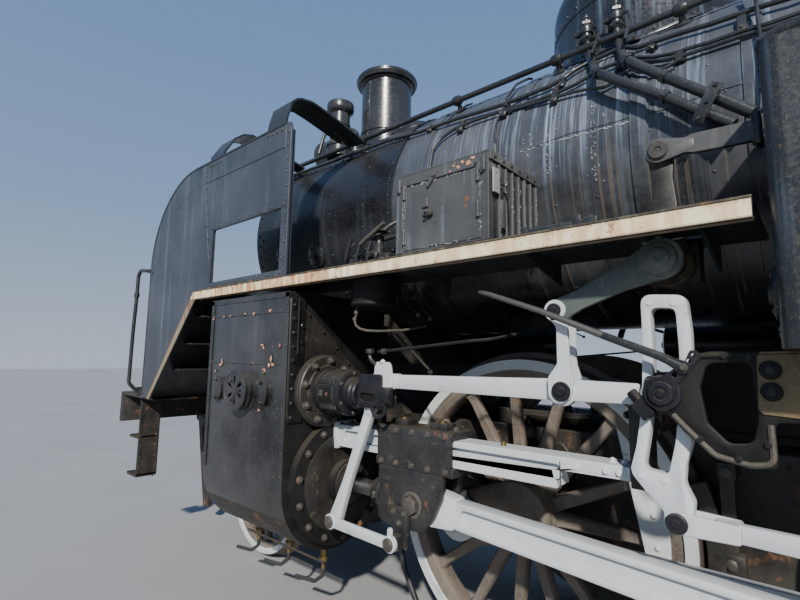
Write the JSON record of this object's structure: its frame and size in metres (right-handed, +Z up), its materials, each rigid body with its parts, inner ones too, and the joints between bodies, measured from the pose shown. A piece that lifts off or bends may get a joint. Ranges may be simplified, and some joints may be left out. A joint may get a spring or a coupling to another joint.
{
  "type": "side tank steam locomotive",
  "caption": "Side-tank steam locomotive with smoke deflectors, outside cylinders and valve gear, leading pony truck, coupled drivers, trailing bogie, cab and coal bunker.",
  "frame": {"origin": "on the plane of the wheel flange bottoms, under the middle of the whole length and width", "axes": "+X forward, +Y to the engine's left side, +Z up"},
  "size_m": [12.65, 2.84, 3.9278],
  "materials": {
    "engine_black": "weathered gloss",
    "boiler_black": "streaked gloss",
    "cast_black": "oily matt",
    "wheel_paint": "dusty",
    "white_steel": "white paint",
    "crosshead_steel": "oily"
  },
  "bodies": {
    "engine": {"main_frame": "engine_black", "front_beam": "engine_black", "rear_beam": "engine_black", "front_coupler": "cast_black", "rear_coupler": "cast_black", "cylinders": "engine_black", "slide_bars": "white_steel", "motion_plate": "engine_black", "expansion_links": "white_steel", "radius_rods": "white_steel", "lifting_arms": "white_steel", "eccentric_rods": "white_steel", "link_brackets": "cast_black", "reverse_lever": "engine_black", "boiler": "boiler_black", "firebox": "cast_black", "smokebox": "engine_black", "chimney": "engine_black", "exhaust_stack": "engine_black", "headlights": "engine_black", "sand_dome": "boiler_black", "steam_dome": "boiler_black", "safety_valves": "cast_black", "running_boards": "engine_black", "smoke_deflectors": "engine_black", "equipment_box": "engine_black", "air_compressor": "engine_black", "side_tanks": "engine_black", "cab_sides": "engine_black", "cab_front": "engine_black", "cab_rear": "engine_black", "cab_roof": "engine_black", "cab_floor": "engine_black", "cab_steps": "engine_black", "backhead": "cast_black", "coal_bunker": "engine_black", "brake_gear": "cast_black"},
    "wheelset_lead": {"wheelset_lead": "wheel_paint"},
    "wheelset_driver_1": {"wheelset_driver_1": "wheel_paint"},
    "wheelset_driver_2": {"wheelset_driver_2": "wheel_paint"},
    "wheelset_driver_3": {"wheelset_driver_3": "wheel_paint"},
    "wheelset_trail_1": {"wheelset_trail_1": "wheel_paint"},
    "wheelset_trail_2": {"wheelset_trail_2": "wheel_paint"},
    "coupling_rod_left": {"coupling_rod_left": "white_steel"},
    "coupling_rod_right": {"coupling_rod_right": "white_steel"},
    "main_rod_left": {"main_rod_left": "white_steel"},
    "main_rod_right": {"main_rod_right": "white_steel"},
    "crosshead_left": {"crosshead_left": "crosshead_steel"},
    "crosshead_right": {"crosshead_right": "crosshead_steel"},
    "combination_lever_left": {"combination_lever_left": "white_steel"},
    "combination_lever_right": {"combination_lever_right": "white_steel"},
    "pony_frame": {"pony_frame": "cast_black"},
    "bogie_frame": {"bogie_frame": "cast_black"},
    "smokebox_door": {"smokebox_door": "engine_black"},
    "tank_lid_left": {"tank_lid_left": "engine_black"},
    "tank_lid_right": {"tank_lid_right": "engine_black"},
    "cab_door_left": {"cab_door_left": "engine_black"},
    "cab_door_right": {"cab_door_right": "engine_black"},
    "front_knuckle": {"front_knuckle": "cast_black"},
    "rear_knuckle": {"rear_knuckle": "cast_black"}
  },
  "joints": [
    {"name": "pony_swivel", "type": "hinge", "parent": "engine", "child": "pony_frame", "pos_m": [3.445, 0, 0.45], "axis": [0, 0, 1], "range_deg": [-3.5, 3.5]},
    {"name": "bogie_swivel", "type": "hinge", "parent": "engine", "child": "bogie_frame", "pos_m": [-4.125, 0, 0.9], "axis": [0, 0, 1], "range_deg": [-4, 4]},
    {"name": "lead_wheels_spin", "type": "hinge", "parent": "pony_frame", "child": "wheelset_lead", "pos_m": [4.625, 0, 0.458], "axis": [0, 1, 0], "continuous": true},
    {"name": "driver_2_spin", "type": "hinge", "parent": "engine", "child": "wheelset_driver_2", "pos_m": [0.525, 0, 0.788], "axis": [0, 1, 0], "continuous": true},
    {"name": "driver_1_spin", "type": "hinge", "parent": "engine", "child": "wheelset_driver_1", "pos_m": [2.425, 0, 0.788], "axis": [0, 1, 0], "continuous": true},
    {"name": "driver_3_spin", "type": "hinge", "parent": "engine", "child": "wheelset_driver_3", "pos_m": [-1.375, 0, 0.788], "axis": [0, 1, 0], "continuous": true},
    {"name": "trail_1_spin", "type": "hinge", "parent": "bogie_frame", "child": "wheelset_trail_1", "pos_m": [-3.275, 0, 0.458], "axis": [0, 1, 0], "continuous": true},
    {"name": "trail_2_spin", "type": "hinge", "parent": "bogie_frame", "child": "wheelset_trail_2", "pos_m": [-4.975, 0, 0.458], "axis": [0, 1, 0], "continuous": true},
    {"name": "coupling_rod_left_turn", "type": "hinge", "parent": "wheelset_driver_2", "child": "coupling_rod_left", "pos_m": [0.8244, 0.72, 0.7298], "axis": [0, 1, 0], "continuous": true},
    {"name": "crosshead_left_slide", "type": "slide", "parent": "engine", "child": "crosshead_left", "axis": [1, 0, 0], "range_m": [-0.5987, 0.0053]},
    {"name": "main_rod_left_swing", "type": "hinge", "parent": "crosshead_left", "child": "main_rod_left", "pos_m": [2.76668, 0.97, 0.85], "axis": [0, 1, 0], "range_deg": [-7.33, 10.71]},
    {"name": "combination_lever_left_swing", "type": "hinge", "parent": "engine", "child": "combination_lever_left", "pos_m": [2.93, 1.11, 1.418], "axis": [0, 1, 0], "range_deg": [-0.7, 45.52]},
    {"name": "coupling_rod_right_turn", "type": "hinge", "parent": "wheelset_driver_2", "child": "coupling_rod_right", "pos_m": [0.4668, -0.72, 0.4886], "axis": [0, 1, 0], "continuous": true},
    {"name": "crosshead_right_slide", "type": "slide", "parent": "engine", "child": "crosshead_right", "axis": [1, 0, 0], "range_m": [-0.2109, 0.3931]},
    {"name": "main_rod_right_swing", "type": "hinge", "parent": "crosshead_right", "child": "main_rod_right", "pos_m": [2.37895, -0.97, 0.85], "axis": [0, 1, 0], "range_deg": [-0.17, 17.88]},
    {"name": "combination_lever_right_swing", "type": "hinge", "parent": "engine", "child": "combination_lever_right", "pos_m": [2.93, -1.11, 1.418], "axis": [0, 1, 0], "range_deg": [-29.99, 16.23]},
    {"name": "smokebox_door_hinge", "type": "hinge", "parent": "engine", "child": "smokebox_door", "pos_m": [4.7, -0.622, 2.486], "axis": [0, 0, -1], "range_deg": [0, 110]},
    {"name": "cab_door_left_hinge", "type": "hinge", "parent": "engine", "child": "cab_door_left", "pos_m": [-3.357, 1.385, 2], "axis": [0, 0, 1], "range_deg": [0, 88]},
    {"name": "cab_door_right_hinge", "type": "hinge", "parent": "engine", "child": "cab_door_right", "pos_m": [-3.357, -1.385, 2], "axis": [0, 0, -1], "range_deg": [0, 88]},
    {"name": "tank_lid_left_hinge", "type": "hinge", "parent": "engine", "child": "tank_lid_left", "pos_m": [-0.075, 0.905, 2.443], "axis": [-1, 0, 0], "range_deg": [-105, 0]},
    {"name": "tank_lid_right_hinge", "type": "hinge", "parent": "engine", "child": "tank_lid_right", "pos_m": [-0.075, -0.905, 2.443], "axis": [-1, 0, 0], "range_deg": [0, 105]},
    {"name": "front_knuckle_pin", "type": "hinge", "parent": "engine", "child": "front_knuckle", "pos_m": [6.205, -0.152, 0.908], "axis": [0, 0, 1], "range_deg": [-45, 0]},
    {"name": "rear_knuckle_pin", "type": "hinge", "parent": "engine", "child": "rear_knuckle", "pos_m": [-6.205, 0.152, 0.908], "axis": [0, 0, 1], "range_deg": [-45, 0]}
  ],
  "couplings": [
    {"joint": "driver_1_spin", "follows": "driver_2_spin", "ratio": 1},
    {"joint": "driver_3_spin", "follows": "driver_2_spin", "ratio": 1},
    {"joint": "coupling_rod_left_turn", "follows": "driver_2_spin", "ratio": -1},
    {"joint": "combination_lever_left_swing", "follows": "crosshead_left_slide", "rad_per_m": -1.3182},
    {"joint": "coupling_rod_right_turn", "follows": "driver_2_spin", "ratio": -1},
    {"joint": "combination_lever_right_swing", "follows": "crosshead_right_slide", "rad_per_m": -1.3182}
  ]
}
